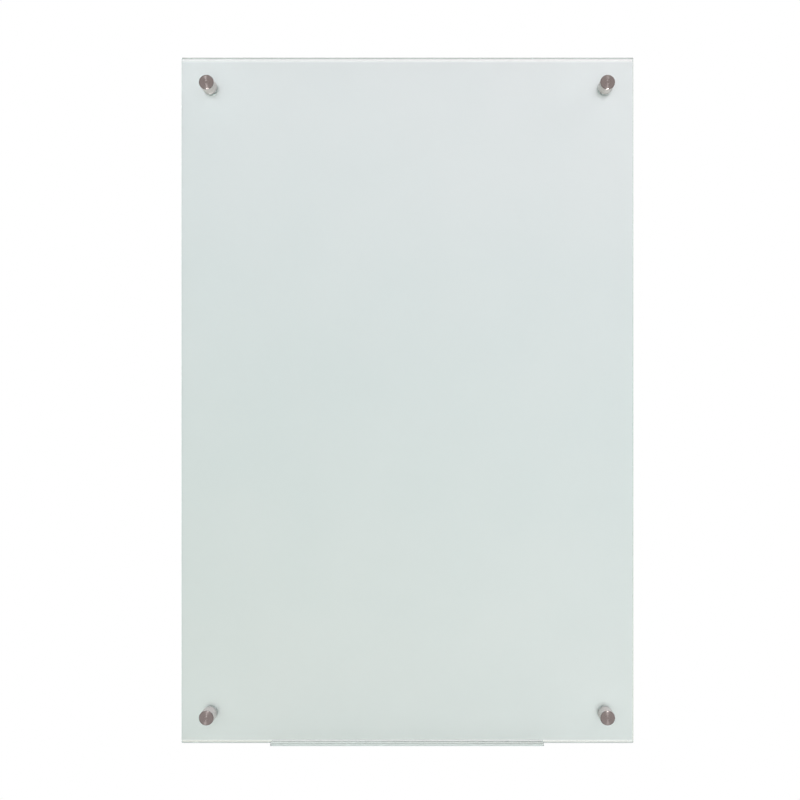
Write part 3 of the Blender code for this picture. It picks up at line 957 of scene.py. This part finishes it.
white_nylon, tree, surface = new_material(
    "moulded_white_nylon",
    settings={"Base Color": linear("#e3e2dc"), "Roughness": 0.45, "Subsurface Weight": 0.1},
)
spot = add(tree, "ShaderNodeTexCoord")
grain = add(
    tree,
    "ShaderNodeTexNoise",
    {"Scale": 1 / SLEEVE_GRAIN, "Detail": 2},
    {"Vector": spot.outputs["Object"]},
)
dull = add(tree, "ShaderNodeMapRange", {"To Min": 0.38, "To Max": 0.54}, {0: grain.outputs[0]})
tint = add(
    tree,
    "ShaderNodeMix",
    {**MIX, FIRST: linear("#dcdbd3"), SECOND: linear("#eae9e4")},
    {0: grain.outputs[0]},
)
tree.links.new(tint.outputs[MIXED], surface.inputs["Base Color"])
tree.links.new(dull.outputs[0], surface.inputs["Roughness"])

sleeve_profile = [
    (STUD_BORE, 0),
    (SLEEVE_RADIUS, 0),
    (SLEEVE_RADIUS, SLEEVE_LENGTH),
    (STUD_BORE, SLEEVE_LENGTH),
]
sleeve_rounds = [(1, SLEEVE_ROUND, 2), (2, SLEEVE_ROUND, 2)]
for corner in CORNERS:
    node = "hole_sleeve_" + corner
    sleeve = make(turned(node, sleeve_profile, sleeve_rounds), "nylon_sleeve_" + corner)
    dress(sleeve, node, white_nylon)


# Studs, four: zinc-plated threaded pins, fixed in the caps and screwed into the bases. One turn
# moves the cap 1.5 mm. A hexagon socket in the inner end takes the key that fixes them.

STUD_ROOT, STUD_PITCH, STUD_END_RADIUS, STUD_STEPS = 4.1, 1.5, 4.2, 72
KEY_RADIUS, KEY_LENGTH, KEY_MIDDLE = 2.887, 5, 1.5  # to its corners, for 5 mm across its flats


def stud_radius(height, radius):
    """A cone at both ends, 0.8 mm deep."""
    return min(radius, STUD_END_RADIUS + height, STUD_END_RADIUS + STUD_LENGTH - height)


for corner in CORNERS:
    node = "stud_" + corner
    x, wall_end, z = place_of(node)
    pin = threaded(
        node, STUD_RADIUS, STUD_ROOT, STUD_PITCH, 0, STUD_LENGTH, stud_radius, STUD_STEPS
    )
    stud = make(pin, "zinc_stud_" + corner)
    key = bmesh.new()
    bmesh.ops.create_cone(
        key,
        cap_ends=True,
        segments=6,
        radius1=KEY_RADIUS * MM,
        radius2=KEY_RADIUS * MM,
        depth=KEY_LENGTH * MM,
    )
    bmesh.ops.rotate(key, matrix=Matrix.Rotation(math.pi / 2, 3, "X"), verts=key.verts)
    bmesh.ops.translate(key, vec=(x, wall_end - KEY_MIDDLE * MM, z), verts=key.verts)
    combine(stud, key, "DIFFERENCE")
    dress(stud, node, zinc)


# Caps, four: short cylinders turned from the same bar as the bases, as long as they are wide, with a
# rounded front edge. Each holds its stud in a blind hole and is screwed down by hand.

CAP_RADIUS, CAP_LENGTH = size_of("cap_top_right")
CAP_BORE_DEPTH, FACE_RING = 12, 8.4
CAP_FRONT_ROUND, CAP_BACK_ROUND, CAP_STEPS = 1.0, 0.3, 128

cap_profile = [
    (0, CAP_LENGTH),
    (FACE_RING, CAP_LENGTH),
    (CAP_RADIUS, CAP_LENGTH),
    (CAP_RADIUS, 0),
    (STUD_BORE, 0),
    (STUD_BORE, CAP_BORE_DEPTH),
    (0, CAP_BORE_DEPTH),
]
cap_rounds = [(2, CAP_FRONT_ROUND, 6), (3, CAP_BACK_ROUND, 2)]
for corner in CORNERS:
    node = "cap_" + corner
    cap = make(turned(node, cap_profile, cap_rounds, CAP_STEPS), "steel_cap_" + corner)
    dress(cap, node, steel)


# The tape: a strip of clear acrylic tape between the ledge's back edge and the glass. It is as clear
# as the ledge, but softer and slightly uneven.

TAPE_CLOUD = 1.43 * MM  # how wide the duller patches are where it has wetted the glass less

clear_tape, tree, surface = new_material(
    "clear_acrylic_tape",
    settings={
        "Base Color": linear("#fafcfb"),
        "Roughness": 0.3,
        "IOR": 1.47,
        "Transmission Weight": 1,
    },
)
spot = add(tree, "ShaderNodeTexCoord")
cloud = add(
    tree,
    "ShaderNodeTexNoise",
    {"Scale": 1 / TAPE_CLOUD, "Detail": 3},
    {"Vector": spot.outputs["Object"]},
)
dull = add(tree, "ShaderNodeMapRange", {"To Min": 0.22, "To Max": 0.36}, {0: cloud.outputs[0]})
tree.links.new(dull.outputs[0], surface.inputs["Roughness"])
for holder in frame["nodes"]["ledge_tape"].material_slots:
    holder.material = clear_tape


# The pen ledge: an angle of clear acrylic with an upturned lip, formed with small radii and sawn to
# length. Its long edges are polished, and its sawn ends are dull.

low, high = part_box("pen_ledge")
LEDGE_DEPTH, LIP_HEIGHT = round((high.y - low.y) / MM, 3), round((high.z - low.z) / MM, 3)
LEDGE_THICKNESS = 3
LIP_END_ROUND, OUTER_BEND, INNER_BEND, LIP_ROUND = 2, 1.2, 1.0, 0.8
LIP_INNER = LEDGE_DEPTH - LEDGE_THICKNESS
NEAR = 0.01  # how close a point lies to an edge's line, in mm, to belong to it
SMEAR = 8.33 * MM  # how wide the smears left by wiping and handling are

acrylic, tree, surface = new_material(
    "formed_clear_acrylic",
    settings={
        "Base Color": linear("#f7fcfa"),
        "Roughness": 0.05,
        "IOR": 1.49,
        "Transmission Weight": 1,
    },
)
spot = add(tree, "ShaderNodeTexCoord")
facing = add(tree, "ShaderNodeSeparateXYZ", links={0: spot.outputs["Normal"]})
end_on = add(tree, "ShaderNodeMath", {"operation": "ABSOLUTE"}, {0: facing.outputs["X"]})
sawn = add(tree, "ShaderNodeMath", {"operation": "GREATER_THAN", 1: SQUARE_ON}, {0: end_on})
smear = add(
    tree,
    "ShaderNodeTexNoise",
    {"Scale": 1 / SMEAR, "Detail": 3},
    {"Vector": spot.outputs["Object"]},
)
gloss = add(tree, "ShaderNodeMapRange", {"To Min": 0.03, "To Max": 0.1}, {0: smear.outputs[0]})
dull = add(tree, "ShaderNodeMapRange", {"To Max": 0.4}, {0: sawn, "To Min": gloss})
tree.links.new(dull.outputs[0], surface.inputs["Roughness"])

section = [
    (0, 0),
    (LEDGE_DEPTH, 0),
    (LEDGE_DEPTH, LIP_HEIGHT),
    (LIP_INNER, LIP_HEIGHT),
    (LIP_INNER, LEDGE_THICKNESS),
    (0, LEDGE_THICKNESS),
]
shape = bmesh.new()
outline = [
    shape.verts.new((low.x, high.y - depth * MM, low.z + up * MM)) for depth, up in section
]
sawn_end = shape.faces.new(outline)
pulled = bmesh.ops.extrude_face_region(shape, geom=[sawn_end])["geom"]
far_end = [item for item in pulled if isinstance(item, bmesh.types.BMVert)]
bmesh.ops.translate(shape, vec=(high.x - low.x, 0, 0), verts=far_end)
bmesh.ops.recalc_face_normals(shape, faces=shape.faces)


def edges_where(test):
    """The ledge's edges whose two ends both pass a test of their depth and height in mm."""
    return [
        edge
        for edge in shape.edges
        if all(test((high.y - v.co.y) / MM, (v.co.z - low.z) / MM) for v in edge.verts)
    ]


def across_lip(edge):
    """Whether an edge runs through the lip's thickness, and not along the ledge."""
    return abs(edge.verts[0].co.x - edge.verts[1].co.x) < NEAR * MM


def upright(face):
    """Whether a face is one of the lip's tall sides."""
    return abs(face.normal.y) > SQUARE_ON


def soften(edges, radius, segments):
    """Rounds some of the ledge's edges."""
    bmesh.ops.bevel(
        shape,
        geom=edges,
        offset=radius * MM,
        segments=segments,
        profile=0.5,
        affect="EDGES",
        material=-1,
    )


lip_top = edges_where(lambda depth, up: up > LIP_HEIGHT - NEAR)
soften([edge for edge in lip_top if across_lip(edge)], LIP_END_ROUND, 6)
soften(edges_where(lambda depth, up: abs(depth - LEDGE_DEPTH) < NEAR and up < NEAR), OUTER_BEND, 5)
soften(
    edges_where(
        lambda depth, up: abs(depth - LIP_INNER) < NEAR and abs(up - LEDGE_THICKNESS) < NEAR
    ),
    INNER_BEND,
    5,
)
for lip_side in (LEDGE_DEPTH, LIP_INNER):
    over_lip = edges_where(
        lambda depth, up: abs(depth - lip_side) < NEAR and up > LIP_HEIGHT - LIP_END_ROUND - NEAR
    )
    soften(
        [
            edge
            for edge in over_lip
            if len(edge.link_faces) == 2 and any(upright(f) for f in edge.link_faces)
        ],
        LIP_ROUND,
        5,
    )
ledge = make(shape, "acrylic_pen_ledge")
dress(ledge, "pen_ledge", acrylic)
